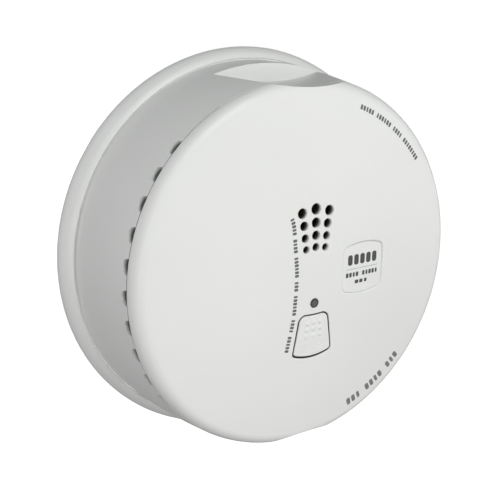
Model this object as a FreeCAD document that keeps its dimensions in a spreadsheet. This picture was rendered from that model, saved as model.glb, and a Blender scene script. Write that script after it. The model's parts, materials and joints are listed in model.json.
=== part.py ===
import FreeCAD, Part
import math
import os

import Sketcher
from FreeCAD import Placement, Rotation, Vector

# Carbon monoxide detector: a wall base with a rounded rim and a drum-shaped head that twists onto it.
# Frame: origin at the centre of the wall face, +Z up, the domed face looks along -Y.
# "Depth" is the distance in front of the wall, so depth d is the plane y = -d.

doc = FreeCAD.newDocument("co_detector")
sheet = doc.addObject("Spreadsheet::Sheet", "dims")
TAU = math.pi / 180.0


class Dim(object):
    """A size that carries its spreadsheet expression together with its value."""

    def __init__(self, text, value):
        self.text = text
        self.value = float(value)

    def __add__(self, o):
        o = D(o)
        return Dim("(%s + %s)" % (self.text, o.text), self.value + o.value)

    def __radd__(self, o):
        return D(o) + self

    def __sub__(self, o):
        o = D(o)
        return Dim("(%s - %s)" % (self.text, o.text), self.value - o.value)

    def __rsub__(self, o):
        return D(o) - self

    def __mul__(self, o):
        o = D(o)
        return Dim("(%s * %s)" % (self.text, o.text), self.value * o.value)

    def __rmul__(self, o):
        return D(o) * self

    def __truediv__(self, o):
        o = D(o)
        return Dim("(%s / %s)" % (self.text, o.text), self.value / o.value)

    def __neg__(self):
        return Dim("(0 - %s)" % self.text, -self.value)


def D(x):
    if isinstance(x, Dim):
        return x
    x = float(x)
    if x < 0:
        return Dim("(0 - %s)" % repr(-x), x)
    return Dim(repr(x), x)


def root(x):
    x = D(x)
    return Dim("sqrt(%s)" % x.text, math.sqrt(x.value))


row = [0]


def size(alias, value, note):
    row[0] += 1
    sheet.set("A%d" % row[0], note)
    sheet.set("B%d" % row[0], repr(value))
    sheet.setAlias("B%d" % row[0], alias)
    return Dim("dims." + alias, value)


# ---- driving dimensions, millimetres and degrees ----
rim_r = size("rim_radius", 70.0, "outer radius of the base rim")
rim_d = size("rim_depth", 7.5, "depth of the rim crown")
rim_in = size("rim_inner_radius", 65.96, "inner radius of the rim")
plate_t = size("plate_thickness", 2.5, "base plate thickness")
wire_r = size("wire_opening_radius", 24.0, "field wiring opening")
slot_r = size("screw_slot_radius", 2.2, "half width of a mounting slot")
slot_len = size("screw_slot_length", 7.0, "overall length of a mounting slot")
box_pitch = size("box_screw_pitch", 86.0, "distance between the wall box screws")
anchor_pitch = size("anchor_pitch", 60.0, "distance between the wall anchor holes")
hook_in = size("hook_inner_radius", 54.0, "bayonet hook pillar, inside")
hook_out = size("hook_pillar_radius", 56.5, "bayonet hook pillar, outside")
lip_out = size("hook_lip_radius", 59.2, "bayonet hook lip")
lip_d = size("hook_lip_depth", 5.3, "underside of the hook lip")
hook_d = size("hook_depth", 6.9, "top of the hook")
hook_w = size("hook_angle", 14.0, "angular width of a hook")
tab_in = size("tab_inner_radius", 57.3, "bayonet tab on the head")
tab_d0 = size("tab_depth_rear", 3.3, "rear of a tab")
tab_d1 = size("tab_depth_front", 4.9, "front of a tab")
seam_r = size("seam_radius", 62.05, "radius where the side wall meets the face cover")
seam_d = size("seam_depth", 39.24, "depth of that seam")
seam_gap = size("seam_gap", 0.5, "shadow gap of the seam")
skirt_r = size("skirt_radius", 65.9, "side wall radius inside the rim")
skirt_d = size("skirt_depth", 6.0, "depth where the taper starts")
skirt_end = size("skirt_end_depth", 3.4, "rear edge of the side wall")
wall_bulge = size("wall_bulge_radius", 233.0, "lengthwise bulge of the side wall")
wall_t = size("wall_thickness", 2.2, "moulded wall thickness")
floor_d0 = size("floor_depth_rear", 9.0, "rear face of the head's floor")
floor_d1 = size("floor_depth_front", 11.0, "front face of the head's floor")
edge_r = size("face_edge_radius", 4.68, "rounding between side wall and face")
face_d = size("face_depth", 47.7, "depth of the dome's apex")
scallop_r = size("scallop_radius", 75.0, "radius of a finger scallop")
scallop_z = size("scallop_floor", 59.0, "scallop floor above the axis")
scallop_d = size("scallop_depth", 17.5, "depth where a scallop ends")
vent_r = size("vent_radius", 2.45, "half-round vent")
vent_pitch = size("vent_pitch_angle", 8.75, "angle between vents")
led_r = size("led_window_radius", 1.55, "indicator window")
led_z = size("led_height", -10.15, "indicator height")
pcb_r = size("board_radius", 44.0, "circuit board radius")
pcb_d = size("board_depth", 22.0, "rear face of the circuit board")
pcb_t = size("board_thickness", 1.6, "circuit board thickness")
boss_ring = size("cover_boss_ring", 50.5, "circle of the cover bosses")
boss_r = size("cover_boss_radius", 3.4, "cover boss radius")
post_ring = size("board_post_ring", 38.0, "circle of the board posts")
sounder_z = size("sounder_height", 14.8, "sounder centre height")
sounder_r = size("sounder_radius", 15.0, "sounder cup radius")
cell_x = size("cell_side", -26.0, "gas cell, sideways")
cell_z = size("cell_height", -3.0, "gas cell, height")
cell_r = size("cell_radius", 10.0, "gas cell radius")
hinge_z = size("button_hinge_height", -28.0, "button pivot height")
hinge_d = size("button_hinge_depth", 43.6, "button pivot depth")
pin_r = size("button_pin_radius", 0.8, "button pivot pin")
switch_z = size("switch_height", -19.5, "switch height")
button_gap = size("button_gap", 0.5, "gap around the button")
badge_x = size("badge_side", 20.35, "badge centre, sideways")
badge_recess = size("badge_recess", 0.8, "badge recess depth")
doc.recompute()

board_front = pcb_d + pcb_t
inner_face = face_d - wall_t

# dome of the face: one large arc, tangent to the rounded edge
arm = seam_r - edge_r
rise = face_d - seam_d
dome_r = (arm * arm + rise * rise - edge_r * edge_r) / (2 * (rise - edge_r))
dome_c = face_d - dome_r  # depth of the dome's centre (far behind the wall)


def bind(obj, prop, dim):
    dim = D(dim)
    if "dims." in dim.text:
        obj.setExpression(prop, dim.text)


# ---- primitives in front view: u is +X, v is +Z, d is the depth ----
def put(obj, u, v, d, turn=0.0, tilt=None):
    u, v, d = D(u), D(v), D(d)
    rot = Rotation(Vector(0, -1, 0), turn).multiply(Rotation(Vector(1, 0, 0), 90))
    if tilt is not None:
        rot = tilt
    obj.Placement = Placement(Vector(u.value, -d.value, v.value), rot)
    bind(obj, "Placement.Base.x", u)
    bind(obj, "Placement.Base.y", -d)
    bind(obj, "Placement.Base.z", v)
    return obj


def cyl(name, r, ln, u, v, d, turn=0.0, tilt=None, angle=None):
    o = doc.addObject("Part::Cylinder", name)
    r, ln = D(r), D(ln)
    o.Radius, o.Height = r.value, ln.value
    bind(o, "Radius", r)
    bind(o, "Height", ln)
    if angle is not None:
        angle = D(angle)
        o.Angle = angle.value
        bind(o, "Angle", angle)
    return put(o, u, v, d, turn, tilt)


def cone(name, r0, r1, ln, u, v, d, tilt=None):
    o = doc.addObject("Part::Cone", name)
    r0, r1, ln = D(r0), D(r1), D(ln)
    o.Radius1, o.Radius2, o.Height = r0.value, r1.value, ln.value
    bind(o, "Radius1", r0)
    bind(o, "Radius2", r1)
    bind(o, "Height", ln)
    return put(o, u, v, d, 0.0, tilt)


def ball(name, r, u, v, d):
    o = doc.addObject("Part::Sphere", name)
    r = D(r)
    o.Radius = r.value
    bind(o, "Radius", r)
    return put(o, u, v, d)


def box(name, lu, lv, ld, u, v, d, turn=0.0):
    """A box given by its centre in u and v and its rear face depth d."""
    o = doc.addObject("Part::Box", name)
    lu, lv, ld = D(lu), D(lv), D(ld)
    o.Length, o.Width, o.Height = lu.value, lv.value, ld.value
    bind(o, "Length", lu)
    bind(o, "Width", lv)
    bind(o, "Height", ld)
    if turn:
        c, s = math.cos(turn * TAU), math.sin(turn * TAU)
        u = D(u) - lu * (c / 2) + lv * (s / 2)
        v = D(v) - lu * (s / 2) - lv * (c / 2)
        return put(o, u, v, d, turn)
    return put(o, D(u) - lu / 2, D(v) - lv / 2, d)


def fuse(name, shapes):
    o = doc.addObject("Part::MultiFuse", name)
    o.Shapes = list(shapes)
    return o


def cut(name, base, tools):
    o = doc.addObject("Part::Cut", name)
    o.Base = base
    o.Tool = tools[0] if len(tools) == 1 else fuse(name + "_tools", tools)
    return o


def common(name, shapes):
    o = doc.addObject("Part::MultiCommon", name)
    o.Shapes = list(shapes)
    return o


def group(name, shapes):
    """Several separate solids in one node."""
    o = doc.addObject("Part::Compound", name)
    o.Links = list(shapes)
    return o


def sector(name, r0, r1, d0, d1, mid, width):
    """A ring sector between two radii and two depths, centred on an angle seen from the front."""
    r0, r1, d0, d1, width = D(r0), D(r1), D(d0), D(d1), D(width)
    turn = mid - width.value / 2
    outer = cyl(name + "_outer", r1, d1 - d0, 0, 0, d0, turn=turn, angle=width)
    inner = cyl(name + "_inner", r0, d1 - d0 + 2, 0, 0, d0 - 1)
    return cut(name, outer, [inner])


# ---- PartDesign helpers ----
def plane(body, role):
    for feature in body.Origin.OriginFeatures:
        if feature.Role == role:
            return feature
    raise RuntimeError("no origin plane " + role)


def arc_centre(p, q, r, side):
    mx, my = (p[0] + q[0]) / 2, (p[1] + q[1]) / 2
    dx, dy = q[0] - p[0], q[1] - p[1]
    c = math.hypot(dx, dy)
    k = math.sqrt(max(r * r - c * c / 4, 0.0))
    return mx - side * dy / c * k, my + side * dx / c * k


def outline(sketch, points, edges):
    """A closed outline. edges[i] joins point i to the next one: None is straight, (radius, side) is an arc
    whose centre lies on the left (+1) or on the right (-1) of the way from one point to the next."""
    n = len(points)
    xy = [(D(p[0]), D(p[1])) for p in points]
    flat = [(p[0].value, p[1].value) for p in xy]
    first = sketch.GeometryCount
    ends = []
    for i in range(n):
        p, q = flat[i], flat[(i + 1) % n]
        if edges[i] is None:
            g = sketch.addGeometry(Part.LineSegment(Vector(p[0], p[1], 0), Vector(q[0], q[1], 0)), False)
            ends.append((g, 1, 2))
        else:
            radius, side = D(edges[i][0]), edges[i][1]
            c = arc_centre(p, q, radius.value, side)
            a0 = math.atan2(p[1] - c[1], p[0] - c[0])
            a1 = math.atan2(q[1] - c[1], q[0] - c[0])
            circle = Part.Circle(Vector(c[0], c[1], 0), Vector(0, 0, 1), radius.value)
            if side > 0:
                if a1 < a0:
                    a1 += 2 * math.pi
                g = sketch.addGeometry(Part.ArcOfCircle(circle, a0, a1), False)
                ends.append((g, 1, 2))
            else:
                if a0 < a1:
                    a0 += 2 * math.pi
                g = sketch.addGeometry(Part.ArcOfCircle(circle, a1, a0), False)
                ends.append((g, 2, 1))
            k = sketch.addConstraint(Sketcher.Constraint("Radius", g, radius.value))
            if "dims." in radius.text:
                sketch.setExpression("Constraints[%d]" % k, radius.text)
    for i in range(n):
        g0, _, e0 = ends[i]
        g1, s1, _ = ends[(i + 1) % n]
        sketch.addConstraint(Sketcher.Constraint("Coincident", g0, e0, g1, s1))
    for i in range(n):
        g, s, _ = ends[i]
        for kind, value in (("DistanceX", xy[i][0]), ("DistanceY", xy[i][1])):
            if abs(value.value) < 1e-9:
                sketch.addConstraint(
                    Sketcher.Constraint("PointOnObject", g, s, -2 if kind == "DistanceX" else -1)
                )
                continue
            k = sketch.addConstraint(Sketcher.Constraint(kind, -1, 1, g, s, value.value))
            if "dims." in value.text:
                sketch.setExpression("Constraints[%d]" % k, value.text)


def ring_mark(sketch, r, u=0.0, v=0.0):
    r, u, v = D(r), D(u), D(v)
    g = sketch.addGeometry(Part.Circle(Vector(u.value, v.value, 0), Vector(0, 0, 1), r.value), False)
    k = sketch.addConstraint(Sketcher.Constraint("Radius", g, r.value))
    if "dims." in r.text:
        sketch.setExpression("Constraints[%d]" % k, r.text)
    for kind, value in (("DistanceX", u), ("DistanceY", v)):
        if abs(value.value) < 1e-9:
            sketch.addConstraint(Sketcher.Constraint("PointOnObject", g, 3, -2 if kind == "DistanceX" else -1))
            continue
        k = sketch.addConstraint(Sketcher.Constraint(kind, -1, 1, g, 3, value.value))
        if "dims." in value.text:
            sketch.setExpression("Constraints[%d]" % k, value.text)


def revolved(name, points, edges):
    """A turned body: the outline is (radius, y) and turns about the Y axis."""
    body = doc.addObject("PartDesign::Body", name)
    sketch = body.newObject("Sketcher::SketchObject", name + "_profile")
    sketch.AttachmentSupport = [(plane(body, "XY_Plane"), "")]
    sketch.MapMode = "FlatFace"
    outline(sketch, points, edges)
    feature = body.newObject("PartDesign::Revolution", name + "_revolution")
    feature.Profile = sketch
    feature.ReferenceAxis = (sketch, ["V_Axis"])
    feature.Angle = 360.0
    body.Tip = feature
    doc.recompute()
    return body


def front_sketch(body, name, depth):
    """A sketch seen from the front (x is +X, y is +Z) at a depth."""
    depth = D(depth)
    sketch = body.newObject("Sketcher::SketchObject", name)
    sketch.AttachmentSupport = [(plane(body, "XZ_Plane"), "")]
    sketch.MapMode = "FlatFace"
    sketch.AttachmentOffset = Placement(Vector(0, 0, depth.value), Rotation())
    if "dims." in depth.text:
        sketch.setExpression("AttachmentOffset.Base.z", depth.text)
    return sketch


def pad(body, sketch, name, length):
    length = D(length)
    feature = body.newObject("PartDesign::Pad", name)
    feature.Profile = sketch
    feature.Length = length.value
    bind(feature, "Length", length)
    body.Tip = feature
    doc.recompute()
    if feature.Shape.Volume < 1e-6:
        raise RuntimeError(name + " made nothing")
    return feature


def pocket(body, sketch, name, length):
    """A pocket from the sketch plane towards the front; it must take material away."""
    length = D(length)
    before = body.Shape.Volume
    feature = body.newObject("PartDesign::Pocket", name)
    feature.Profile = sketch
    feature.Length = length.value
    bind(feature, "Length", length)
    feature.Reversed = True
    body.Tip = feature
    doc.recompute()
    if not feature.Shape.Volume < before - 1e-6:
        feature.Reversed = False
        doc.recompute()
    if not feature.Shape.Volume < before - 1e-6:
        raise RuntimeError(name + " cuts nothing")
    return feature


def padded(name, points, edges, depth, length):
    body = doc.addObject("PartDesign::Body", name)
    sketch = front_sketch(body, name + "_outline", depth)
    outline(sketch, points, edges)
    pad(body, sketch, name + "_pad", length)
    return body


def soften(body, name, radius, choose):
    """Fillet the edges of a body's tip that the chooser picks."""
    radius = D(radius)
    before = body.Tip
    edges = []
    for i, edge in enumerate(before.Shape.Edges):
        if choose(edge):
            edges.append("Edge%d" % (i + 1))
    if not edges:
        raise RuntimeError(name + " finds no edge")
    feature = body.newObject("PartDesign::Fillet", name)
    feature.Base = (before, edges)
    feature.Radius = radius.value
    bind(feature, "Radius", radius)
    body.Tip = feature
    doc.recompute()
    return feature


def along_depth(edge):
    a, b = edge.Vertexes[0].Point, edge.Vertexes[-1].Point
    return len(edge.Vertexes) == 2 and abs(a.x - b.x) < 1e-6 and abs(a.z - b.z) < 1e-6 and abs(a.y - b.y) > 0.1


def rect(lu, lv, u, v):
    lu, lv, u, v = D(lu), D(lv), D(u), D(v)
    return [
        (u - lu / 2, v - lv / 2),
        (u + lu / 2, v - lv / 2),
        (u + lu / 2, v + lv / 2),
        (u - lu / 2, v + lv / 2),
    ]


FOUR = [None, None, None, None]
nodes = {}


def eased(name, base, rules):
    """Small moulded radii: rules is a list of (radius, choose), and choose picks edges of the finished solid."""
    doc.recompute()
    picks = []
    for i, edge in enumerate(base.Shape.Edges):
        for radius, choose in rules:
            if choose(edge):
                picks.append((i + 1, radius, radius))
                break
    rounding = doc.addObject("Part::Fillet", name)
    rounding.Base = base
    rounding.Edges = picks
    doc.recompute()
    return rounding


def samples(edge, n=7):
    a, b = edge.ParameterRange
    return [edge.valueAt(a + (b - a) * i / (n - 1.0)) for i in range(n)]


def on_dome(edge, offset=0.0):
    """True for an edge that lies on the domed face."""
    centre = Vector(0, -dome_c.value, 0)
    return all(abs((p - centre).Length - dome_r.value - offset) < 0.02 for p in samples(edge))


def near(edge, u, v, r):
    return all(abs(math.hypot(p.x - u, p.z - v) - r) < 0.03 for p in samples(edge))


def node(name, obj):
    obj.Label = name
    nodes[name] = obj
    return obj


ALONG_X = Rotation(Vector(0, 1, 0), 90)  # cylinder axis along +X

# ================= mounting base =================
base_turn = revolved(
    "base_turning",
    [
        (0, 0),
        (rim_r - 1.3, 0),
        (rim_r, -plate_t),
        (rim_r - 1.0, -(rim_d - 2.1)),
        (rim_in + 0.75, -rim_d),
        (rim_in, -(rim_d - 0.75)),
        (rim_in, -(plate_t + 0.8)),
        (rim_in - 0.8, -plate_t),
        (0, -plate_t),
    ],
    [None, (2.9, -1), (5.2, -1), (4.2, -1), (0.75, -1), None, (0.8, 1), None, None],
)
hooks = []
for i in range(4):
    a = 45.0 + 90.0 * i
    hooks.append(sector("hook_pillar_%d" % i, hook_in, hook_out, plate_t - 0.5, hook_d, a, hook_w))
    hooks.append(sector("hook_lip_%d" % i, hook_in + 0.5, lip_out, lip_d, hook_d, a, hook_w))
    # end stop: the tab of the locked head rests against it
    hooks.append(sector("hook_stop_%d" % i, hook_in, lip_out, plate_t - 0.5, hook_d, a - 8.6, 2.4))
# stiffening rib around the wiring opening and one concentric rib
rib_a = cut("base_rib_a", cyl("rib_a_out", wire_r + 2.0, 2.0, 0, 0, plate_t - 0.5), [cyl("rib_a_in", wire_r, 4.0, 0, 0, 1.0)])
rib_b = cut("base_rib_b", cyl("rib_b_out", 52.0, 1.5, 0, 0, plate_t - 0.5), [cyl("rib_b_in", 50.6, 3.5, 0, 0, 1.0)])
base_solid = fuse("base_solid", [base_turn, rib_a, rib_b] + hooks)
openings = [cyl("wire_opening", wire_r, 12.0, 0, 0, -1.0)]
for sgn in (1, -1):
    v0 = (box_pitch / 2) * sgn
    half = slot_len / 2 - slot_r
    openings.append(cyl("slot_a_%d" % sgn, slot_r, 8.0, 0, v0 + half, -1.0))
    openings.append(cyl("slot_b_%d" % sgn, slot_r, 8.0, 0, v0 - half, -1.0))
    openings.append(box("slot_c_%d" % sgn, slot_r * 2, half * 2, 8.0, 0, v0, -1.0))
    openings.append(cyl("anchor_%d" % sgn, slot_r, 8.0, (anchor_pitch / 2) * sgn, 0, -1.0))
base = cut("base_part", base_solid, openings)
node("mounting_base", base)

# ================= rear housing of the head =================
wall_in = skirt_r - wall_t
housing_turn = revolved(
    "housing_turning",
    [
        (0, -floor_d0),
        (wall_in, -floor_d0),
        (wall_in, -skirt_end),
        (skirt_r - 0.5, -skirt_end),
        (skirt_r, -(skirt_end + 0.5)),
        (skirt_r, -skirt_d),
        (seam_r, -seam_d),
        (seam_r - wall_t, -seam_d),
        (wall_in - 0.4, -floor_d1),
        (0, -floor_d1),
    ],
    [None, None, None, (0.5, -1), None, (wall_bulge, -1), None, None, None, None],
)
tabs = []
for i in range(4):
    tabs.append(sector("tab_%d" % i, tab_in, wall_in + 0.6, tab_d0, tab_d1, 45.0 + 90.0 * i, 13.4))
ledges = [
    sector("screen_ledge_r", 57.6, 61.2, 33.0, 34.3, 0.0, 100.0),
    sector("screen_ledge_l", 57.6, 61.2, 33.0, 34.3, 180.0, 100.0),
]
posts = []
post_places = []
for i, a in enumerate((90.0, 205.0, 325.0)):
    u, v = post_ring * math.cos(a * TAU), post_ring * math.sin(a * TAU)
    post_places.append((u, v))
    posts.append(cone("post_%d" % i, 3.6, 2.9, pcb_d - floor_d1 + 0.5, u, v, floor_d1 - 0.5))
# wall behind each scallop, held inside the outer skin
backings = []
for k, sgn in (("top", 1), ("bottom", -1)):
    block = box("backing_block_" + k, 44.0, 9.0, seam_d - scallop_d + 3.0, 0, (scallop_z + 1.9) * sgn, scallop_d - 3.0)
    limit = cone("backing_limit_" + k, skirt_r - 0.6, seam_r - 1.0, seam_d - skirt_d, 0, 0, skirt_d)
    backings.append(common("backing_" + k, [block, limit]))
housing_solid = fuse("housing_solid", [housing_turn] + tabs + ledges + posts + backings)
housing_cuts = []
for k, sgn in (("top", 1), ("bottom", -1)):
    housing_cuts.append(
        cyl("scallop_wall_" + k, scallop_r, 60.0, 0, (scallop_z + scallop_r) * sgn, scallop_d)
    )
for side, centre in (("r", 0.0), ("l", 180.0)):
    for j in range(-5, 6):
        a = (centre + j * vent_pitch.value) * TAU
        # a radial cylinder whose axis lies on the seam plane
        axis = Rotation(Vector(0, 0, 1), Vector(math.cos(a), 0, math.sin(a)))
        o = cyl(
            "vent_%s_%d" % (side, j + 5),
            vent_r,
            12.0,
            (seam_r - 7.0) * math.cos(a),
            (seam_r - 7.0) * math.sin(a),
            seam_d,
            tilt=axis,
        )
        housing_cuts.append(o)
housing_cuts.append(box("terminal_window", 46.0, 17.0, 8.0, 0, 0, 6.0))
for i, (u, v) in enumerate(post_places):
    housing_cuts.append(cyl("post_pilot_%d" % i, 1.15, 10.0, u, v, pcb_d - 8.5))
boss_places = []
for a in (57.0, 123.0, 237.0, 303.0):
    boss_places.append((boss_ring * math.cos(a * TAU), boss_ring * math.sin(a * TAU)))
for i, (u, v) in enumerate(boss_places):
    housing_cuts.append(cyl("cover_screw_hole_%d" % i, 1.6, 6.0, u, v, floor_d0 - 2.0))
housing = cut("housing_part", housing_solid, housing_cuts)
node("rear_housing", housing)

# ================= front cover =================
# tangent point of rounded edge and dome, outside and inside
def touch(shrink):
    big = dome_r - shrink
    small = edge_r - shrink
    x = arm * big / (dome_r - edge_r)
    y = dome_c + root(big * big - x * x)
    return x, y


ox, oy = touch(0.0)
ix, iy = touch(wall_t)
inner_edge = edge_r - wall_t
cover_turn = revolved(
    "cover_turning",
    [
        (arm + root(edge_r * edge_r - seam_gap * seam_gap), -(seam_d + seam_gap)),
        (ox, -oy),
        (0, -face_d),
        (0, -inner_face),
        (ix, -iy),
        (arm + root(inner_edge * inner_edge - seam_gap * seam_gap), -(seam_d + seam_gap)),
    ],
    [(edge_r, -1), (dome_r, -1), None, (dome_r - wall_t, 1), (inner_edge, 1), None],
)
# bosses for the cover screws, locating lips, button ears
bosses = []
for i, (u, v) in enumerate(boss_places):
    bosses.append(cyl("cover_boss_%d" % i, boss_r, 43.2 - (floor_d1 + 0.2), u, v, floor_d1 + 0.2))
lips = []
for i, a in enumerate((60.0, 120.0, 240.0, 300.0)):
    lips.append(sector("cover_lip_%d" % i, 57.6, 59.5, seam_d - 3.0, seam_d + 1.9, a, 12.0))
ears = []
for k, sgn in (("l", -1), ("r", 1)):
    ears.append(box("ear_" + k, 1.7, 3.6, 3.2, 9.85 * sgn, hinge_z, hinge_d - 1.6))
# wall behind each scallop, held inside the outer skin
lx, ly = touch(0.5)
cover_limit = revolved(
    "cover_limit",
    [
        (arm + root((edge_r - 0.5) * (edge_r - 0.5) - seam_gap * seam_gap), -(seam_d + seam_gap)),
        (lx, -ly),
        (0, -(face_d - 0.5)),
        (0, -(seam_d + seam_gap)),
    ],
    [(edge_r - 0.5, -1), (dome_r - 0.5, -1), None, None],
)
cover_backings = []
for k, sgn in (("top", 1), ("bottom", -1)):
    block = box("cover_backing_block_" + k, 44.0, 9.0, 10.0, 0, (scallop_z + 1.9) * sgn, seam_d + seam_gap)
    cover_backings.append(common("cover_backing_" + k, [block, cover_limit]))
cover_solid = fuse("cover_solid", [cover_turn] + bosses + lips + ears + cover_backings)


def button_shape(name, grow, depth, length, top_corner, low_corner):
    """The button's outline: a trapezoid that widens downwards, hollow at the top and crowned at the bottom."""
    grow = D(grow)
    body = padded(
        name,
        [
            (5.3 + grow, -14.0 + grow),
            (-5.3 - grow, -14.0 + grow),
            (-7.5 - grow, -27.45 - grow),
            (7.5 + grow, -27.45 - grow),
        ],
        [(34.0, -1), None, (20.0, 1), None],
        depth,
        length,
    )
    soften(body, name + "_top_corners", top_corner, lambda e: along_depth(e) and e.BoundBox.ZMin > -20.0)
    soften(body, name + "_low_corners", low_corner, lambda e: along_depth(e) and e.BoundBox.ZMax < -20.0)
    return body


def badge_shape(name, grow, depth, length):
    grow = D(grow)
    body = padded(
        name,
        [
            (badge_x + 8.35 + grow, 6.2 + grow),
            (badge_x - 8.35 - grow, 6.2 + grow),
            (badge_x - 8.35 - grow, -8.4 - grow),
            (badge_x + 8.35 + grow, -8.4 - grow),
        ],
        [(24.9, 1), (160.0, 1), (26.8, 1), (160.0, 1)],
        depth,
        length,
    )
    soften(body, name + "_corners", 1.8, along_depth)
    return body


cover_cuts = []
for k, sgn in (("top", 1), ("bottom", -1)):
    cover_cuts.append(
        cyl("scallop_cover_" + k, scallop_r, 60.0, 0, (scallop_z + scallop_r) * sgn, scallop_d)
    )
# sounder holes: a fan of three columns and four rows
hole_rows = ((5.27, 20.3, 21.26, 1.68, 1.8), (4.6, 16.17, 16.82, 1.5, 1.65), (4.2, 12.13, 12.68, 1.35, 1.5), (3.75, 8.35, 8.81, 1.2, 1.3))
for i, (du, vs, vc, rs, rc) in enumerate(hole_rows):
    cover_cuts.append(cyl("sound_hole_l%d" % i, rs, 8.0, -du, vs, inner_face - 3.0))
    cover_cuts.append(cyl("sound_hole_c%d" % i, rc, 8.0, 0, vc, inner_face - 3.0))
    cover_cuts.append(cyl("sound_hole_r%d" % i, rs, 8.0, du, vs, inner_face - 3.0))
cover_cuts.append(cyl("led_hole", led_r + 0.08, 8.0, 0, led_z, inner_face - 3.0))
cover_cuts.append(button_shape("button_opening", button_gap, inner_face - 1.4, 8.0, 2.9, 1.6))
recess_prism = badge_shape("badge_recess_prism", 0.06, 44.5, 6.0)
recess_ball = ball("badge_recess_ball", dome_r - badge_recess, 0, 0, dome_c)
cover_cuts.append(cut("badge_recess_tool", recess_prism, [recess_ball]))
for i, (u, v) in enumerate(boss_places):
    cover_cuts.append(cyl("cover_pilot_%d" % i, 1.2, 15.0, u, v, floor_d1 - 1.0))
cover_cuts.append(cyl("pivot_hole", pin_r + 0.08, 26.0, -13.0, hinge_z, hinge_d, tilt=ALONG_X))
cover_sharp = cut("cover_sharp", cover_solid, cover_cuts)
sound_holes = []
for du, vs, vc, rs, rc in hole_rows:
    sound_holes += [(-du, vs, rs), (0.0, vc, rc), (du, vs, rs)]


def hole_rim(edge):
    return on_dome(edge) and any(near(edge, u, v, r) for u, v, r in sound_holes)


def window_rim(edge):
    return on_dome(edge) and near(edge, 0.0, led_z.value, led_r.value + 0.08)


def opening_rim(edge):
    return on_dome(edge) and all(abs(p.x) < 9.0 and -30.5 < p.z < -12.5 for p in samples(edge))


def recess_rim(edge):
    return on_dome(edge) and all(abs(p.x - badge_x.value) < 9.5 and abs(p.z + 1.0) < 10.0 for p in samples(edge))


cover = eased(
    "cover_part",
    cover_sharp,
    [(0.32, hole_rim), (0.2, window_rim), (0.35, opening_rim), (0.6, recess_rim)],
)
node("front_cover", cover)

# ================= button =================
cap_prism = button_shape("cap_prism", 0.0, hinge_d + 0.2, 6.0, 2.4, 1.1)
cap_ball = ball("cap_ball", dome_r + 0.1, 0, 0, dome_c)
cap = common("button_cap", [cap_prism, cap_ball])
flange = box("button_flange", 16.8, 16.3, 1.2, 0, -21.05, hinge_d - 0.7)
pins = cyl("button_pins", pin_r, 20.4, -10.2, hinge_z, hinge_d, tilt=ALONG_X)
push_post = cyl("button_post", 2.0, 1.2, 0, switch_z, hinge_d - 1.3)
dots = []
for i, (dv, du) in enumerate(((-16.85, 2.45), (-19.15, 2.7), (-21.5, 3.0))):
    for j, k in enumerate((-1, 0, 1)):
        r2 = (du * k) ** 2 + dv**2
        surface = dome_c + root((dome_r + 0.1) * (dome_r + 0.1) - r2)
        dots.append(ball("grip_dot_%d%d" % (i, j), 1.6, du * k, dv, surface - 1.3))
button_sharp = fuse("button_sharp", [cap, flange, pins, push_post] + dots)


def cap_rim(edge):
    return on_dome(edge, 0.1) and all(max(abs(p.x) - 5.0, abs(p.z + 21.4) - 7.0) > 0 for p in samples(edge))


button = eased("button_part", button_sharp, [(0.35, cap_rim)])
node("test_button", button)

# ================= light pipe and badge =================
pipe = common(
    "pipe_part",
    [cyl("pipe_rod", led_r, 17.0, 0, led_z, 31.6), ball("pipe_end", dome_r + 0.12, 0, 0, dome_c)],
)
node("light_pipe", pipe)
plate_prism = badge_shape("badge_prism", 0.0, 44.5, 6.0)
plate_top = common("badge_top", [plate_prism, ball("badge_ball_top", dome_r - 0.4, 0, 0, dome_c)])
badge_sharp = cut("badge_sharp", plate_top, [ball("badge_ball_rear", dome_r - badge_recess, 0, 0, dome_c)])
badge = eased("badge_part", badge_sharp, [(0.12, lambda edge: on_dome(edge, -0.4))])
node("badge_plate", badge)

# ================= circuit board =================
board = doc.addObject("PartDesign::Body", "board_body")
sk = front_sketch(board, "board_outline", pcb_d)
ring_mark(sk, pcb_r)
for u, v in post_places:
    ring_mark(sk, 1.3, u, v)
for du, dv in ((0, 5.0), (-4.3, -2.5), (4.3, -2.5)):
    ring_mark(sk, 0.7, cell_x + du, cell_z + dv)
pad(board, sk, "board_pad", pcb_t)
node("main_pcb", board)

# ================= gas cell =================
cell = revolved(
    "cell_turning",
    [(0, -board_front), (cell_r - 0.6, -board_front), (cell_r, -(board_front + 0.6)), (cell_r, -(board_front + 12.4)),
     (cell_r - 0.6, -(board_front + 13.0)), (0, -(board_front + 13.0))],
    [None, None, None, None, None, None],
)
cell.Placement = Placement(Vector(cell_x.value, 0, cell_z.value), Rotation())
bind(cell, "Placement.Base.x", cell_x)
bind(cell, "Placement.Base.z", cell_z)
node("co_sensor_cell", cell)
cap_d = board_front + 13.0
cell_cap = cut(
    "cell_cap_part",
    cyl("cell_cap_disc", cell_r - 0.8, 1.8, cell_x, cell_z, cap_d),
    [cyl("cell_cap_well", 4.2, 2.0, cell_x, cell_z, cap_d + 0.8), cyl("cell_cap_port", 1.2, 4.0, cell_x, cell_z, cap_d - 1.0)],
)
node("co_sensor_cap", cell_cap)
gas_filter = cyl("filter_disc", 4.1, 0.9, cell_x, cell_z, cap_d + 0.85)
node("gas_filter", gas_filter)
pin_set = [
    cyl("cell_pin_%d" % i, 0.55, 3.4, cell_x + du, cell_z + dv, pcb_d - 1.8)
    for i, (du, dv) in enumerate(((0, 5.0), (-4.3, -2.5), (4.3, -2.5)))
]
node("sensor_pins", group("cell_pins", pin_set))

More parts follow.
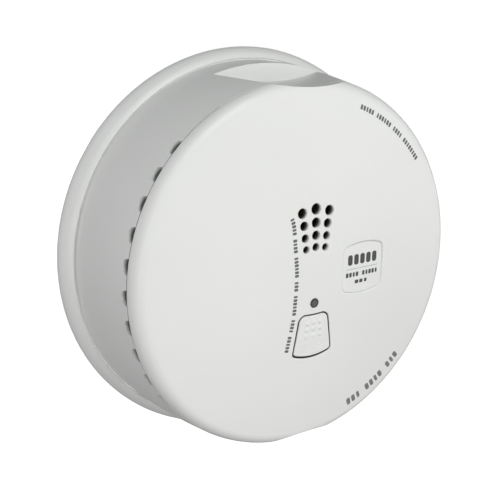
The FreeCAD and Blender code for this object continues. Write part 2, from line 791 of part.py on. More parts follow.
# ================= sounder =================
cup = revolved(
    "sounder_turning",
    [
        (0, -board_front),
        (sounder_r - 0.5, -board_front),
        (sounder_r, -(board_front + 0.5)),
        (sounder_r, -(board_front + 16.4)),
        (6.0, -(board_front + 16.4)),
        (6.0, -(board_front + 15.2)),
        (sounder_r - 1.3, -(board_front + 15.2)),
        (sounder_r - 1.3, -(board_front + 1.4)),
        (0, -(board_front + 1.4)),
    ],
    [None] * 9,
)
cup.Placement = Placement(Vector(0, 0, sounder_z.value), Rotation())
bind(cup, "Placement.Base.z", sounder_z)
node("sounder_housing", cup)
disc = fuse(
    "sounder_disc_part",
    [cyl("disc_brass", sounder_r - 1.5, 0.4, 0, sounder_z, board_front + 8.0), cyl("disc_ceramic", 10.0, 0.35, 0, sounder_z, board_front + 8.3)],
)
node("sounder_disc", disc)
gasket = cut(
    "gasket_part",
    cyl("gasket_out", 12.5, 3.6, 0, sounder_z, board_front + 16.4),
    [cyl("gasket_in", 10.2, 6.0, 0, sounder_z, board_front + 15.0)],
)
node("sounder_gasket", gasket)

# ================= indicator and switch =================
led = fuse(
    "led_part",
    [
        cyl("led_flange", 1.9, 1.0, 0, led_z, board_front),
        cyl("led_body", 1.5, 5.4, 0, led_z, board_front + 0.5),
        ball("led_dome", 1.5, 0, led_z, board_front + 5.9),
    ],
)
node("status_led", led)
switch = padded("switch_block", rect(6.0, 6.0, 0, switch_z), FOUR, board_front, 3.6)
sk = front_sketch(switch, "switch_well_mark", board_front + 1.2)
ring_mark(sk, 1.78, 0, switch_z)
pocket(switch, sk, "switch_well", 4.0)
soften(switch, "switch_corners", 0.4, along_depth)
node("switch_body", switch)
plunger = fuse(
    "plunger_part",
    [
        cyl("plunger_rod", 1.7, hinge_d - 1.45 - 0.5 - (board_front + 2.0), 0, switch_z, board_front + 2.0),
        cyl("plunger_tip", 1.2, 1.0, 0, switch_z, hinge_d - 1.45 - 1.0),
    ],
)
node("switch_plunger", plunger)

# ================= field wiring terminals, facing the wall =================
term_d = pcb_d - 12.4
terminal = padded("terminal_block_body", rect(40.6, 12.0, 0, 0), FOUR, term_d, pcb_d - term_d)
for i in range(8):
    sk = front_sketch(terminal, "screw_well_mark_%d" % i, term_d)
    ring_mark(sk, 1.95, -17.5 + 5.0 * i, 2.2)
    pocket(terminal, sk, "screw_well_%d" % i, 3.6)
    sk = front_sketch(terminal, "wire_well_mark_%d" % i, term_d)
    outline(sk, rect(3.2, 2.6, -17.5 + 5.0 * i, -3.4), FOUR)
    pocket(terminal, sk, "wire_well_%d" % i, 7.0)
node("terminal_block", terminal)
heads, clamps = [], []
for i in range(8):
    u = -17.5 + 5.0 * i
    head = cut(
        "terminal_screw_%d" % i,
        fuse("screw_blank_%d" % i, [cyl("screw_head_%d" % i, 1.75, 1.4, u, 2.2, term_d + 0.8), cyl("screw_shank_%d" % i, 1.1, 1.6, u, 2.2, term_d + 2.0)]),
        [box("screw_slot_%d" % i, 4.2, 0.5, 1.0, u, 2.2, term_d + 0.2, turn=20.0 + 37.0 * i)],
    )
    heads.append(head)
    clamps.append(box("clamp_%d" % i, 2.8, 0.6, 3.0, u, -2.5, term_d + 3.6))
node("terminal_screws", group("terminal_screw_set", heads))
node("terminal_clamps", group("terminal_clamp_set", clamps))


# ================= components on the board =================
def case(name, label, lu, lv, ld, u, v, corner):
    body = padded(name, rect(lu, lv, u, v), FOUR, board_front, ld)
    soften(body, name + "_corners", corner, along_depth)
    return node(label, body)


case("alarm_relay_case", "alarm_relay", 20.0, 10.0, 11.5, 26.0, -1.6, 0.6)
case("trouble_relay_case", "trouble_relay", 18.0, 9.0, 9.5, 24.0, -13.3, 0.6)
case("controller_case", "microcontroller", 9.0, 9.0, 1.5, 0.0, -33.0, 0.3)
case("amplifier_case", "sensor_amplifier", 5.0, 4.2, 1.5, -22.0, -19.5, 0.25)
case("regulator_case", "voltage_regulator", 6.6, 6.2, 2.4, 27.0, 17.0, 0.4)

capacitor = revolved(
    "capacitor_turning",
    [(0, -board_front), (3.4, -board_front), (4.0, -(board_front + 0.6)), (4.0, -(board_front + 1.6)), (3.75, -(board_front + 2.0)),
     (4.0, -(board_front + 2.4)), (4.0, -(board_front + 10.9)), (3.4, -(board_front + 11.5)), (0, -(board_front + 11.5))],
    [None] * 9,
)
capacitor.Placement = Placement(Vector(-17.0, 0, -31.0), Rotation())
node("filter_capacitor", capacitor)
inductor = revolved(
    "inductor_turning",
    [(0, -board_front), (4.8, -board_front), (4.8, -(board_front + 1.4)), (3.6, -(board_front + 1.4)), (3.6, -(board_front + 6.0)),
     (4.8, -(board_front + 6.0)), (4.8, -(board_front + 7.4)), (0, -(board_front + 7.4))],
    [None] * 8,
)
inductor.Placement = Placement(Vector(-28.0, 0, 20.0), Rotation())
node("drive_inductor", inductor)
varistor = cyl("varistor_disc", 5.2, 3.6, 16.4, -31.5, board_front + 6.2, tilt=ALONG_X)
node("surge_varistor", varistor)
diodes = [
    box("diode_%d" % i, 4.6, 2.6, 2.2, u, v, board_front)
    for i, (u, v) in enumerate(((9.0, -24.2), (9.0, -28.2), (24.0, 25.0), (18.0, 29.0)))
]
node("bridge_diodes", group("diode_set", diodes))
chips = []
places = [(-12, -24), (-12, -27), (-8, -24), (-9, -37), (9, -37), (11, -33), (-30, -22), (-27, -24), (-33, 12), (-30, 28),
          (-22, 28), (-19, 25), (20, 21), (34, 13), (20, 10), (33, 22), (-7, -39), (5, -40), (38, 3), (-39, 3)]
for i, (u, v) in enumerate(places):
    chips.append(box("chip_%d" % i, 2.0, 1.25, 0.55, u, v, board_front))
node("chip_resistors", group("chip_set", chips))

# ================= fasteners =================
cover_screws = []
for i, (u, v) in enumerate(boss_places):
    cover_screws.append(
        cut(
            "cover_screw_%d" % i,
            fuse("cover_screw_blank_%d" % i, [
                cyl("cover_screw_head_%d" % i, 2.8, 1.7, u, v, floor_d0 - 1.7),
                cyl("cover_screw_shank_%d" % i, 1.15, 13.0, u, v, floor_d0 - 0.2),
            ]),
            [box("cover_screw_x_%d" % i, 3.6, 0.7, 1.2, u, v, floor_d0 - 2.1), box("cover_screw_y_%d" % i, 0.7, 3.6, 1.2, u, v, floor_d0 - 2.1)],
        )
    )
node("cover_screws", group("cover_screw_set", cover_screws))
pcb_screws = []
for i, (u, v) in enumerate(post_places):
    pcb_screws.append(
        cut(
            "board_screw_%d" % i,
            fuse("board_screw_blank_%d" % i, [
                cyl("board_screw_head_%d" % i, 2.5, 1.6, u, v, board_front),
                cyl("board_screw_shank_%d" % i, 1.1, 8.0, u, v, board_front - 7.8),
            ]),
            [box("board_screw_x_%d" % i, 3.2, 0.6, 1.2, u, v, board_front + 0.8), box("board_screw_y_%d" % i, 0.6, 3.2, 1.2, u, v, board_front + 0.8)],
        )
    )
node("pcb_screws", group("pcb_screw_set", pcb_screws))

# ================= vent screens and rear label =================
screens = [
    sector("screen_right", 58.3, 58.7, 34.4, 41.2, 0.0, 96.0),
    sector("screen_left", 58.3, 58.7, 34.4, 41.2, 180.0, 96.0),
]
node("vent_screens", group("screen_set", screens))
node("rating_label", box("rating_label_sheet", 44.0, 17.0, 0.2, 0, -30.0, floor_d0 - 0.2))

# ---- checks, then one STEP per node ----
doc.recompute()
bad = [o.Name for o in doc.Objects if "Invalid" in o.State or "Error" in o.State]
if bad:
    raise RuntimeError("failed objects: " + ", ".join(bad))
for name, obj in nodes.items():
    shape = obj.Shape
    if shape.isNull() or not shape.isValid() or not shape.Solids:
        raise RuntimeError("bad shape: " + name)
os.makedirs("parts", exist_ok=True)
for name, obj in nodes.items():
    obj.Shape.exportStep(os.path.join("parts", name + ".step"))
    print("%-20s solids %2d  volume %9.1f" % (name, len(obj.Shape.Solids), obj.Shape.Volume))
print(len(nodes), "nodes, dome radius %.2f" % dome_r.value)
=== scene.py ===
import json
import math

import bmesh
import bpy
from mathutils import Matrix, Vector


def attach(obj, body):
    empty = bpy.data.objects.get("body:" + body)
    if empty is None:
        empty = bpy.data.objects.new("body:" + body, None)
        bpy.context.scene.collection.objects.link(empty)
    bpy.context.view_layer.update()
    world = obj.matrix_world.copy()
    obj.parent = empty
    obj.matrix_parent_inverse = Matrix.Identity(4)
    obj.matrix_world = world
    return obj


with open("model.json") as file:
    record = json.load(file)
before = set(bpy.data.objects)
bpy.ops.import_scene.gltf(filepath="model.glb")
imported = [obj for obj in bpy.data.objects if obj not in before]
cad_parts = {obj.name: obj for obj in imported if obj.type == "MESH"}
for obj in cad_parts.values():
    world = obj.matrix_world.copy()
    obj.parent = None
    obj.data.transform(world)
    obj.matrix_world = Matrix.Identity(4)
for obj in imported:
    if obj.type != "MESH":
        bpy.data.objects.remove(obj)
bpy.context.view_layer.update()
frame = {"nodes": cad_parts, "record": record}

MM = 0.001
scene = bpy.context.scene


scene.view_settings.view_transform = "Standard"
scene.view_settings.look = "None"

# face of the object: a sphere cap behind every mark and opening (millimetres)
DOME_R = 441.93
DOME_C = 47.7 - DOME_R


# ---------------------------------------------------------------- camera
def make_camera():
    az, el, roll = (math.radians(a) for a in (-33.29, 16.03, 0.74))
    back = Vector((math.sin(az) * math.cos(el), -math.cos(az) * math.cos(el), math.sin(el)))
    right = Vector((math.cos(az), math.sin(az), 0.0))
    up = back.cross(right)
    r2 = math.cos(roll) * right + math.sin(roll) * up
    u2 = -math.sin(roll) * right + math.cos(roll) * up
    pos = Vector((0.0, -0.022, 0.0)) + back * 0.27839
    cam = bpy.data.cameras.new("camera")
    cam.sensor_width = 36.0
    cam.lens = 796.06 * 36.0 / 500.0
    cam.shift_x = -(272.28 - 250.0) / 500.0
    cam.shift_y = (254.70 - 250.0) / 500.0
    cam.clip_start = 0.01
    cam.clip_end = 20.0
    ob = bpy.data.objects.new("camera", cam)
    scene.collection.objects.link(ob)
    m = Matrix((
        (r2.x, u2.x, back.x, pos.x),
        (r2.y, u2.y, back.y, pos.y),
        (r2.z, u2.z, back.z, pos.z),
        (0, 0, 0, 1),
    ))
    ob.matrix_world = m
    scene.camera = ob
    return ob


# ---------------------------------------------------------------- materials
def new_mat(name):
    m = bpy.data.materials.new(name)
    m.use_nodes = True
    nt = m.node_tree
    nt.nodes.clear()
    out = nt.nodes.new("ShaderNodeOutputMaterial")
    bsdf = nt.nodes.new("ShaderNodeBsdfPrincipled")
    nt.links.new(bsdf.outputs[0], out.inputs[0])
    return m, nt, bsdf


def coords(nt):
    n = nt.nodes.new("ShaderNodeTexCoord")
    return n.outputs["Object"]


def noise(nt, scale, detail=4.0, rough=0.55, vec=None):
    n = nt.nodes.new("ShaderNodeTexNoise")
    n.inputs["Scale"].default_value = scale
    n.inputs["Detail"].default_value = detail
    n.inputs["Roughness"].default_value = rough
    nt.links.new(vec if vec is not None else coords(nt), n.inputs["Vector"])
    return n.outputs["Fac"]


def ramp(nt, src, stops):
    n = nt.nodes.new("ShaderNodeValToRGB")
    el = n.color_ramp.elements
    while len(el) < len(stops):
        el.new(0.5)
    for e, (p, c) in zip(el, stops):
        e.position = p
        e.color = (c[0], c[1], c[2], 1.0) if hasattr(c, "__len__") else (c, c, c, 1.0)
    nt.links.new(src, n.inputs[0])
    return n.outputs[0]


def remap(nt, src, lo, hi):
    n = nt.nodes.new("ShaderNodeMapRange")
    n.inputs["From Min"].default_value = 0.3
    n.inputs["From Max"].default_value = 0.7
    n.inputs["To Min"].default_value = lo
    n.inputs["To Max"].default_value = hi
    nt.links.new(src, n.inputs[0])
    return n.outputs[0]


def bump(nt, bsdf, src, strength, distance):
    n = nt.nodes.new("ShaderNodeBump")
    n.inputs["Strength"].default_value = strength
    n.inputs["Distance"].default_value = distance
    nt.links.new(src, n.inputs["Height"])
    nt.links.new(n.outputs[0], bsdf.inputs["Normal"])


def moulded(name, base, var=0.012, rough=(0.34, 0.42), grain=0.05, scale=2600.0, ior=1.5):
    """Injection-moulded plastic: faint flow shading, spark-eroded micro texture, satin gloss."""
    m, nt, b = new_mat(name)
    c = [base] * 3 if not hasattr(base, "__len__") else list(base)
    lo = [max(0.0, x - var) for x in c]
    hi = [min(1.0, x + var) for x in c]
    flow = noise(nt, 26.0, 3.0, 0.5)
    nt.links.new(ramp(nt, flow, [(0.3, lo), (0.7, hi)]), b.inputs["Base Color"])
    nt.links.new(remap(nt, noise(nt, 90.0, 5.0, 0.6), *rough), b.inputs["Roughness"])
    bump(nt, b, noise(nt, scale, 2.0, 0.5), grain, 0.00004)
    b.inputs["IOR"].default_value = ior
    return m


def metal(name, base, rough=(0.25, 0.4), scale=900.0, grain=0.15):
    m, nt, b = new_mat(name)
    lo = [x * 0.9 for x in base]
    nt.links.new(ramp(nt, noise(nt, 300.0, 4.0), [(0.3, lo), (0.7, base)]), b.inputs["Base Color"])
    nt.links.new(remap(nt, noise(nt, 500.0, 4.0), *rough), b.inputs["Roughness"])
    b.inputs["Metallic"].default_value = 1.0
    bump(nt, b, noise(nt, scale, 3.0), grain, 0.00003)
    return m


def math_node(nt, op, a, b=None, c=None, clamp=False):
    n = nt.nodes.new("ShaderNodeMath")
    n.operation = op
    n.use_clamp = clamp
    for i, v in enumerate((a, b, c)):
        if v is None:
            continue
        if isinstance(v, (int, float)):
            n.inputs[i].default_value = v
        else:
            nt.links.new(v, n.inputs[i])
    return n.outputs[0]


def vec_node(nt, op, a, b=None):
    n = nt.nodes.new("ShaderNodeVectorMath")
    n.operation = op
    for i, v in enumerate((a, b)):
        if v is None:
            continue
        if isinstance(v, tuple):
            n.inputs[i].default_value = v
        else:
            nt.links.new(v, n.inputs[i])
    return n.outputs["Value"] if op in ("LENGTH", "DOT_PRODUCT") else n.outputs["Vector"]


def smooth(nt, src, e0, e1, lo=0.0, hi=1.0):
    n = nt.nodes.new("ShaderNodeMapRange")
    n.interpolation_type = "SMOOTHSTEP"
    n.inputs["From Min"].default_value = e0
    n.inputs["From Max"].default_value = e1
    n.inputs["To Min"].default_value = lo
    n.inputs["To Max"].default_value = hi
    nt.links.new(src, n.inputs[0])
    return n.outputs[0]


def face_plastic(name, base, var=0.008, rough=(0.36, 0.44), grain=0.05, scale=2600.0):
    """White moulded plastic. The domed face is shaded as one true sphere. Painted shade darkens the walls of the
    openings cut in it with depth, standing in for the shade in thin gaps on a white moulding, and darkens the inside
    of the seam and side vents."""
    m, nt, b = new_mat(name)
    pos = coords(nt)
    out = vec_node(nt, "SUBTRACT", pos, (0.0, -DOME_C * MM, 0.0))
    height = math_node(nt, "SUBTRACT", vec_node(nt, "LENGTH", out), DOME_R * MM)
    radial = vec_node(nt, "NORMALIZE", out)
    geo = nt.nodes.new("ShaderNodeNewGeometry")
    turn = nt.nodes.new("ShaderNodeVectorTransform")
    turn.vector_type = "NORMAL"
    turn.convert_from = "OBJECT"
    turn.convert_to = "WORLD"
    nt.links.new(radial, turn.inputs[0])
    world_radial = vec_node(nt, "NORMALIZE", turn.outputs[0])
    facing = vec_node(nt, "DOT_PRODUCT", geo.outputs["True Normal"], world_radial)
    close = math_node(nt, "LESS_THAN", math_node(nt, "ABSOLUTE", height), 0.00005)
    flat = math_node(nt, "GREATER_THAN", facing, 0.998)
    on_face = math_node(nt, "MULTIPLY", close, flat)
    mixn = nt.nodes.new("ShaderNodeMix")
    mixn.data_type = "VECTOR"
    nt.links.new(on_face, mixn.inputs["Factor"])
    nt.links.new(geo.outputs["Normal"], mixn.inputs[4])
    nt.links.new(world_radial, mixn.inputs[5])
    # painted shade, growing with depth below the face, only inside the openings of the front: the upper group and
    # the gap round the button below
    sep = nt.nodes.new("ShaderNodeSeparateXYZ")
    nt.links.new(pos, sep.inputs[0])
    x, y, z = sep.outputs
    r2 = math_node(nt, "ADD", math_node(nt, "MULTIPLY", x, x), math_node(nt, "MULTIPLY", z, z))
    shallow = math_node(nt, "GREATER_THAN", height, -0.0045)
    middle = math_node(nt, "MULTIPLY", shallow, math_node(nt, "LESS_THAN", math_node(nt, "ABSOLUTE", x), 0.0105))
    upper = math_node(nt, "MULTIPLY", middle, math_node(nt, "COMPARE", z, 0.008, 0.0195))
    lower = math_node(nt, "MULTIPLY", middle, math_node(nt, "COMPARE", z, -0.021, 0.0095))
    hole_painted_shade = math_node(nt, "MULTIPLY", upper, smooth(nt, height, -0.0004, -0.0015))
    gap = math_node(nt, "MULTIPLY", lower, smooth(nt, height, -0.0001, -0.0005))
    # painted shade on the inside of the side vents and of the seam, seen past the outer skin
    near_seam = math_node(nt, "COMPARE", y, -0.0368, 0.0031)
    off_scallop = math_node(nt, "LESS_THAN", math_node(nt, "ABSOLUTE", z), 0.054)
    radius = math_node(nt, "SQRT", r2)
    at_gap = math_node(nt, "COMPARE", y, -0.03948, 0.00034)
    lag = math_node(nt, "MULTIPLY", math_node(nt, "ADD", y, 0.03924), 0.17)
    behind = math_node(nt, "MAXIMUM", smooth(nt, math_node(nt, "SUBTRACT", radius, lag), 0.0619, 0.0606), math_node(nt, "MULTIPLY", at_gap, smooth(nt, radius, 0.06199, 0.0618)))
    seam = math_node(nt, "MULTIPLY", math_node(nt, "MULTIPLY", near_seam, off_scallop), math_node(nt, "MULTIPLY", behind, SEAM_PAINTED_SHADE))
    # all painted shade in one mask: depth in the front openings, the seam and the side vents
    dark = math_node(nt, "MAXIMUM", math_node(nt, "MAXIMUM", hole_painted_shade, gap), seam)
    # the joint between head and rim: a fill light, not a property of the plastic
    joint = math_node(nt, "MULTIPLY", math_node(nt, "COMPARE", radius, 0.0659, 0.0003), math_node(nt, "COMPARE", y, -0.00495, 0.0017))
    glow = math_node(nt, "MULTIPLY", joint, 0.36)
    nt.links.new(glow, b.inputs["Emission Strength"])
    b.inputs["Emission Color"].default_value = (1.0, 1.0, 0.99, 1.0)
    # warm-cool flow shading, then painted shade: near black mixed in by the mask of the openings, the seam and the
    # vents
    c = list(base)
    lo = [max(0.0, x - var) for x in c]
    hi = [min(1.0, x + var) for x in c]
    tint = ramp(nt, noise(nt, 26.0, 3.0, 0.5), [(0.3, lo), (0.7, hi)])
    shade = nt.nodes.new("ShaderNodeMix")
    shade.data_type = "RGBA"
    shade.inputs[7].default_value = (0.035, 0.036, 0.036, 1.0)
    nt.links.new(math_node(nt, "MULTIPLY", dark, PAINTED_SHADE_STRENGTH), shade.inputs["Factor"])
    nt.links.new(tint, shade.inputs[6])
    nt.links.new(shade.outputs[2], b.inputs["Base Color"])
    nt.links.new(remap(nt, noise(nt, 90.0, 5.0, 0.6), *rough), b.inputs["Roughness"])
    bp = nt.nodes.new("ShaderNodeBump")
    bp.inputs["Strength"].default_value = grain
    bp.inputs["Distance"].default_value = 0.00004
    nt.links.new(noise(nt, scale, 2.0, 0.5), bp.inputs["Height"])
    nt.links.new(mixn.outputs[1], bp.inputs["Normal"])
    nt.links.new(bp.outputs[0], b.inputs["Normal"])
    b.inputs["IOR"].default_value = 1.5
    return m


def smoked_window(name):
    """Smoked indicator window: a dark ring round a slightly paler, faintly mottled middle."""
    m, nt, b = new_mat(name)
    sep = nt.nodes.new("ShaderNodeSeparateXYZ")
    nt.links.new(coords(nt), sep.inputs[0])
    dz = math_node(nt, "ADD", sep.outputs[2], 10.15 * MM)
    r = math_node(nt, "SQRT", math_node(nt, "ADD", math_node(nt, "MULTIPLY", sep.outputs[0], sep.outputs[0]), math_node(nt, "MULTIPLY", dz, dz)))
    ring = smooth(nt, r, 0.0008, 0.00135)
    spots = math_node(nt, "MULTIPLY", noise(nt, 1500.0, 2.0), 0.6)
    level = math_node(nt, "SUBTRACT", math_node(nt, "ADD", 0.62, spots), math_node(nt, "MULTIPLY", ring, 0.75), clamp=True)
    nt.links.new(ramp(nt, level, [(0.0, (0.006, 0.006, 0.006)), (1.0, (0.06, 0.06, 0.057))]), b.inputs["Base Color"])
    nt.links.new(remap(nt, noise(nt, 400.0, 3.0), 0.12, 0.2), b.inputs["Roughness"])
    b.inputs["IOR"].default_value = 1.5
    return m


def ink(name, base):
    m, nt, b = new_mat(name)
    nt.links.new(ramp(nt, noise(nt, 900.0, 4.0), [(0.3, base * 0.8), (0.7, base * 1.25)]), b.inputs["Base Color"])
    nt.links.new(remap(nt, noise(nt, 700.0, 3.0), 0.5, 0.65), b.inputs["Roughness"])
    bump(nt, b, noise(nt, 2500.0, 2.0), 0.1, 0.00002)
    return m


# strengths of the painted shade: in the front openings, and in the seam and side vents
PAINTED_SHADE_STRENGTH = 0.97
SEAM_PAINTED_SHADE = 0.90
WHITE = (0.780, 0.783, 0.773)
MATS = {
    "white_plastic": face_plastic("white_plastic", WHITE),
    "button_plastic": face_plastic("button_plastic", WHITE),
    "lens": smoked_window("lens"),
    "badge_film": moulded("badge_film", (0.785, 0.788, 0.778), 0.006, (0.30, 0.36)),
    "board": moulded("board", (0.02, 0.14, 0.06), 0.01, (0.25, 0.4), 0.1, 1500.0),
    "can_steel": metal("can_steel", (0.62, 0.62, 0.64)),
    "cap_plastic": moulded("cap_plastic", (0.03, 0.03, 0.032), 0.006, (0.4, 0.5)),
    "filter_felt": moulded("filter_felt", (0.02, 0.02, 0.02), 0.01, (0.8, 0.95), 0.8, 1800.0),
    "gold_pins": metal("gold_pins", (0.9, 0.68, 0.3)),
    "sounder_plastic": moulded("sounder_plastic", (0.02, 0.02, 0.022), 0.004, (0.35, 0.5)),
    "sounder_brass": metal("sounder_brass", (0.83, 0.62, 0.28)),
    "gasket_foam": moulded("gasket_foam", (0.03, 0.03, 0.03), 0.01, (0.8, 0.9), 0.7, 2200.0),
    "led_epoxy": moulded("led_epoxy", (0.7, 0.76, 0.7), 0.01, (0.08, 0.12), 0.0),
    "switch_plastic": moulded("switch_plastic", (0.025, 0.025, 0.025), 0.004),
    "plunger_plastic": moulded("plunger_plastic", (0.5, 0.05, 0.04), 0.02),
    "terminal_plastic": moulded("terminal_plastic", (0.03, 0.12, 0.045), 0.01, (0.4, 0.5), 0.2),
    "zinc_screw": metal("zinc_screw", (0.66, 0.66, 0.62)),
    "clamp_brass": metal("clamp_brass", (0.8, 0.7, 0.5)),
    "relay_case": moulded("relay_case", (0.02, 0.05, 0.16), 0.006, (0.2, 0.3)),
    "chip_epoxy": moulded("chip_epoxy", (0.015, 0.015, 0.017), 0.004, (0.45, 0.6), 0.3),
    "capacitor_sleeve": moulded("capacitor_sleeve", (0.02, 0.025, 0.06), 0.004, (0.15, 0.25)),
    "ferrite": moulded("ferrite", (0.04, 0.035, 0.035), 0.01, (0.6, 0.8), 0.5),
    "varistor_coat": moulded("varistor_coat", (0.03, 0.08, 0.30), 0.01, (0.2, 0.3)),
    "screen_mesh": metal("screen_mesh", (0.35, 0.36, 0.36), (0.4, 0.6), 1500.0, 0.6),
    "label_film": moulded("label_film", (0.74, 0.75, 0.74), 0.006, (0.4, 0.5)),
}
SLOT_OF = {s["node"]: s["material_slot"] for s in frame["record"]["subparts"]}


def dress(obj, slot_name):
    obj.data.materials.clear()
    obj.data.materials.append(MATS[slot_name])


for name, obj in frame["nodes"].items():
    dress(obj, SLOT_OF[name])


# ---------------------------------------------------------------- printed marks, kept generic
def dome_y(x, z, lift):
    """y of the domed face, raised by lift (all in millimetres)."""
    r = DOME_R + lift
    return -(DOME_C + math.sqrt(r * r - x * x - z * z))


def chip(bm, u, v, along, w, h, corner, lift, thick=0.02, steps=3):
    """One rounded block of ink on the face, w long in the direction 'along' (radians)."""
    ca, sa = math.cos(along), math.sin(along)
    corner = min(corner, w * 0.49, h * 0.49)
    ring = []
    for cx, cy, a0 in ((w / 2 - corner, h / 2 - corner, 0), (-w / 2 + corner, h / 2 - corner, 90), (-w / 2 + corner, -h / 2 + corner, 180), (w / 2 - corner, -h / 2 + corner, 270)):
        for k in range(steps + 1):
            a = math.radians(a0 + 90.0 * k / steps)
            ring.append((cx + corner * math.cos(a), cy + corner * math.sin(a)))

    def vert(p, q, dy):
        x = u + p * ca - q * sa
        z = v + p * sa + q * ca
        return bm.verts.new((x * MM, dome_y(x, z, lift + dy) * MM, z * MM))

    top = [vert(p, q, 0.0) for p, q in ring]
    low = [vert(p * 1.01, q * 1.01, -thick) for p, q in ring]
    mid = vert(0.0, 0.0, 0.0)
    n = len(ring)
    for i in range(n):
        j = (i + 1) % n
        bm.faces.new((mid, top[j], top[i]))
        bm.faces.new((top[i], top[j], low[j], low[i]))


def finish_piece(name, bm, mat, body, smooth_shade=False):
    bmesh.ops.recalc_face_normals(bm, faces=bm.faces)
    me = bpy.data.meshes.new(name)
    bm.to_mesh(me)
    bm.free()
    for p in me.polygons:
        p.use_smooth = smooth_shade
    me.materials.append(mat)
    ob = bpy.data.objects.new(name, me)
    scene.collection.objects.link(ob)
    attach(ob, body)
    return ob


def run_of_blocks(bm, path, groups, height, fill, lift, space=1.0, wobble=0.12):
    """Blocks in groups along a path: path(t) gives u, v and direction for t from 0 to 1 of its length."""
    total = sum(groups) + space * (len(groups) - 1)
    length = path(None)
    pitch = length / total
    at = 0.0
    k = 0
    for g in groups:
        for i in range(g):
            t = (at + 0.5) / total
            u, v, a = path(t)
            w = pitch * (fill + wobble * math.sin(2.1 * k + 0.7))
            chip(bm, u, v, a, w, height, 0.22 * height, lift)
            at += 1.0
            k += 1
        at += space


def arc_path(r, a0, a1, cx=0.0, cz=0.0):
    """Along a circle; a0 and a1 in degrees."""
    def path(t):
        if t is None:
            return abs(math.radians(a1 - a0)) * r
        a = math.radians(a0 + (a1 - a0) * t)
        return cx + r * math.cos(a), cz + r * math.sin(a), a + math.copysign(math.pi / 2, a1 - a0)
    return path


def line_path(x0, x1, z, slope=0.0):
    def path(t):
        if t is None:
            return abs(x1 - x0)
        x = x0 + (x1 - x0) * t
        return x, z + slope * (x - x0), 0.0
    return path


def spline_path(points):
    """Through measured points, by straight pieces short enough to look smooth."""
    fine = []
    n = len(points)
    for i in range(n - 1):
        p0, p1, p2, p3 = points[max(i - 1, 0)], points[i], points[i + 1], points[min(i + 2, n - 1)]
        for k in range(12):
            t = k / 12.0
            fine.append(tuple(
                0.5 * (2 * p1[j] + (p2[j] - p0[j]) * t + (2 * p0[j] - 5 * p1[j] + 4 * p2[j] - p3[j]) * t * t + (3 * p1[j] - p0[j] - 3 * p2[j] + p3[j]) * t**3)
                for j in (0, 1)))
    fine.append(points[-1])
    reach = [0.0]
    for p, q in zip(fine, fine[1:]):
        reach.append(reach[-1] + math.hypot(q[0] - p[0], q[1] - p[1]))

    def path(t):
        if t is None:
            return reach[-1]
        s = t * reach[-1]
        for i in range(len(reach) - 1):
            if s <= reach[i + 1]:
                break
        f = (s - reach[i]) / max(reach[i + 1] - reach[i], 1e-9)
        p, q = fine[i], fine[i + 1]
        return p[0] + f * (q[0] - p[0]), p[1] + f * (q[1] - p[1]), math.atan2(q[1] - p[1], q[0] - p[0])
    return path


INK_DARK = ink("ink_dark", 0.055)
INK_GREY = ink("ink_grey", 0.12)
INK_MID = ink("ink_mid", 0.17)
INK_PALE = ink("ink_pale", 0.42)

bm = bmesh.new()
run_of_blocks(bm, arc_path(55.0, -71.3, -42.8), (3, 4, 3), 2.9, 0.64, 0.02)
finish_piece("rim_notice_blocks", bm, INK_MID, "head")
bm = bmesh.new()
run_of_blocks(bm, arc_path(55.6, 70.4, 36.8), (5, 6, 4, 8), 1.7, 0.68, 0.02)
finish_piece("upper_notice_blocks", bm, INK_GREY, "head")
bm = bmesh.new()
run_of_blocks(bm, spline_path([(-10.38, -25.82), (-9.31, -20.57), (-8.14, -14.35), (-7.57, -6.54), (-7.32, 1.16), (-7.92, 8.82), (-8.53, 16.32), (-9.37, 19.4)]),
              (5, 4, 6, 3, 6, 4, 5), 1.5, 0.72, 0.02)
finish_piece("side_notice_blocks", bm, INK_GREY, "head")

bm = bmesh.new()
run_of_blocks(bm, line_path(13.4, 26.8, 2.0), (5,), 3.6, 0.74, -0.38, wobble=0.0)
finish_piece("badge_block_row", bm, INK_DARK, "head")
bm = bmesh.new()
run_of_blocks(bm, line_path(12.9, 27.2, -3.15), (4, 5), 1.6, 0.7, -0.38)
run_of_blocks(bm, line_path(16.9, 22.8, -5.85), (3,), 1.25, 0.7, -0.38)
finish_piece("badge_small_rows", bm, INK_DARK, "head")
bm = bmesh.new()
for i in range(8):
    chip(bm, 13.0 + 14.1 * (i + 0.5) / 8, -1.15, 0.0, 14.1 / 8 + 0.02, 0.22, 0.02, -0.38)
finish_piece("badge_rule", bm, INK_PALE, "head")

# low curved ribs under the thumb, on the lower half of the button
bm = bmesh.new()
for i in range(6):
    z0 = -22.9 - 0.86 * i
    half = 5.3 + (7.5 - 5.3) * (-14.0 - z0) / 13.45 - 1.35
    radius = 21.0
    n = 22
    rows = []
    for k in range(n + 1):
        x = half * (2.0 * k / n - 1.0)
        z = z0 - (math.sqrt(radius * radius - x * x) - radius) * -1.0 * -1.0
        fade = min(1.0, (half - abs(x)) / 0.8)
        row = []
        for q, lift in ((-0.24, -0.05), (-0.13, 0.045), (0.0, 0.075), (0.13, 0.045), (0.24, -0.05)):
            zz = z + q
            up = 0.1 + (lift if lift < 0 else lift * max(fade, 0.0) - 0.01 * (1 - fade))
            row.append(bm.verts.new((x * MM, dome_y(x, zz, up) * MM, zz * MM)))
        rows.append(row)
    for a, b2 in zip(rows, rows[1:]):
        for k in range(4):
            bm.faces.new((a[k], a[k + 1], b2[k + 1], b2[k]))
    bm.faces.new(rows[0])
    bm.faces.new(list(reversed(rows[-1])))
    for a, b2 in zip(rows, rows[1:]):
        bm.faces.new((a[0], b2[0], b2[4], a[4]))
finish_piece("button_ribs", bm, MATS["button_plastic"], "button", True)


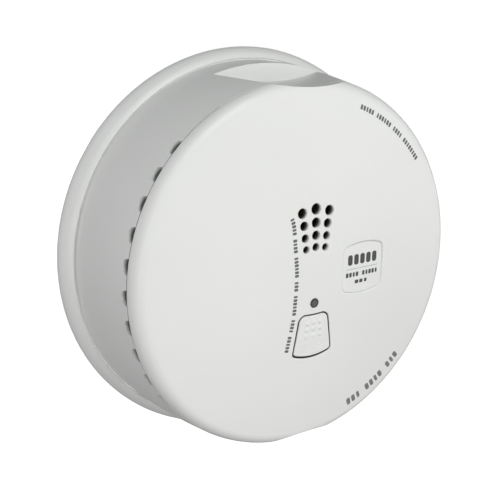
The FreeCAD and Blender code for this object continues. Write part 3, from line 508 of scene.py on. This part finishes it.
# ---------------------------------------------------------------- stage and light
def add_plane(name, size, loc, rot, mat):
    me = bpy.data.meshes.new(name)
    bm = bmesh.new()
    bmesh.ops.create_grid(bm, x_segments=1, y_segments=1, size=size)
    bm.to_mesh(me)
    bm.free()
    ob = bpy.data.objects.new(name, me)
    ob.location = loc
    ob.rotation_euler = rot
    scene.collection.objects.link(ob)
    me.materials.append(mat)
    return ob


floor_mat, nt, b = new_mat("pale_floor")
nt.links.new(ramp(nt, noise(nt, 3.0, 3.0), [(0.3, 0.93), (0.7, 0.95)]), b.inputs["Base Color"])
b.inputs["Roughness"].default_value = 0.9
b.inputs["Emission Color"].default_value = (1, 1, 1, 1)
b.inputs["Emission Strength"].default_value = 1.0
floor = add_plane("pale_floor", 6.0, (0, 0, -0.16), (0, 0, 0), floor_mat)
floor.visible_diffuse = False
floor.visible_glossy = False
floor.visible_shadow = False


def area(name, pos, target, size, watts, size_y=None):
    l = bpy.data.lights.new(name, "AREA")
    l.color = TINT.get(name, (1.0, 1.0, 1.0))
    l.shape = "RECTANGLE" if size_y else "SQUARE"
    l.size = size
    if size_y:
        l.size_y = size_y
    l.energy = watts
    ob = bpy.data.objects.new(name, l)
    ob.location = pos
    d = Vector(target) - Vector(pos)
    ob.rotation_euler = d.to_track_quat("-Z", "Y").to_euler()
    ob.visible_camera = False
    ob.visible_glossy = not name.startswith("rear")
    scene.collection.objects.link(ob)
    return ob


TINT = {"upper": (0.97, 1.0, 0.99), "upper_left": (0.985, 1.0, 0.995), "right": (1.0, 0.995, 0.975), "low_right": (1.0, 0.99, 0.97)}


def studio(name, azimuth, elevation, distance, size, watts):
    """A soft light; azimuth 0 is straight in front, negative to the left of the object."""
    a, e = math.radians(azimuth), math.radians(elevation)
    area(name, (distance * math.sin(a) * math.cos(e), -0.02 - distance * math.cos(a) * math.cos(e), distance * math.sin(e)), (0, -0.02, 0), size, watts)


LIGHTS = (
    ("beside_lens", -33.0, 0.0, 1.2, 0.7, 3.8),
    ("upper_left", -33.0, 35.0, 1.2, 0.7, 2.0),
    ("upper", 0.0, 45.0, 1.2, 0.7, 6.0),
    ("right", 35.0, 10.0, 1.2, 0.7, 2.5),
    ("low_right", 20.0, -20.0, 1.2, 0.7, 2.6),
    ("low", 0.0, -45.0, 1.2, 0.7, 1.1),
    ("low_left", -60.0, -35.0, 1.2, 0.7, 0.8),
    ("far_right", 70.0, 0.0, 1.2, 0.7, 1.5),
    ("rear_left", -115.0, 0.0, 1.2, 0.7, 4.4),
    ("rear", 180.0, 0.0, 1.4, 0.8, 6.0),
)
AMBIENT = 0.025
GLOSS = 0.22
for spec in LIGHTS:
    if spec[5] > 0:
        studio(*spec)

world = bpy.data.worlds.new("studio")
scene.world = world
world.use_nodes = True
wn = world.node_tree
wn.nodes.clear()
wout = wn.nodes.new("ShaderNodeOutputWorld")
wbg = wn.nodes.new("ShaderNodeBackground")
wbg2 = wn.nodes.new("ShaderNodeBackground")
mix = wn.nodes.new("ShaderNodeMixShader")
lp = wn.nodes.new("ShaderNodeLightPath")
wbg.inputs[0].default_value = (1, 1, 1, 1)
wbg.inputs[1].default_value = AMBIENT
wbg2.inputs[0].default_value = (1, 1, 1, 1)
wbg2.inputs[1].default_value = 1.0
seen = wn.nodes.new("ShaderNodeMath")
seen.operation = "MAXIMUM"
wn.links.new(lp.outputs["Is Camera Ray"], seen.inputs[0])
shine = wn.nodes.new("ShaderNodeMath")
shine.operation = "MULTIPLY"
shine.inputs[1].default_value = GLOSS
wn.links.new(lp.outputs["Is Glossy Ray"], shine.inputs[0])
wn.links.new(shine.outputs[0], seen.inputs[1])
wn.links.new(seen.outputs[0], mix.inputs[0])
wn.links.new(wbg.outputs[0], mix.inputs[1])
wn.links.new(wbg2.outputs[0], mix.inputs[2])
wn.links.new(mix.outputs[0], wout.inputs[0])

make_camera()
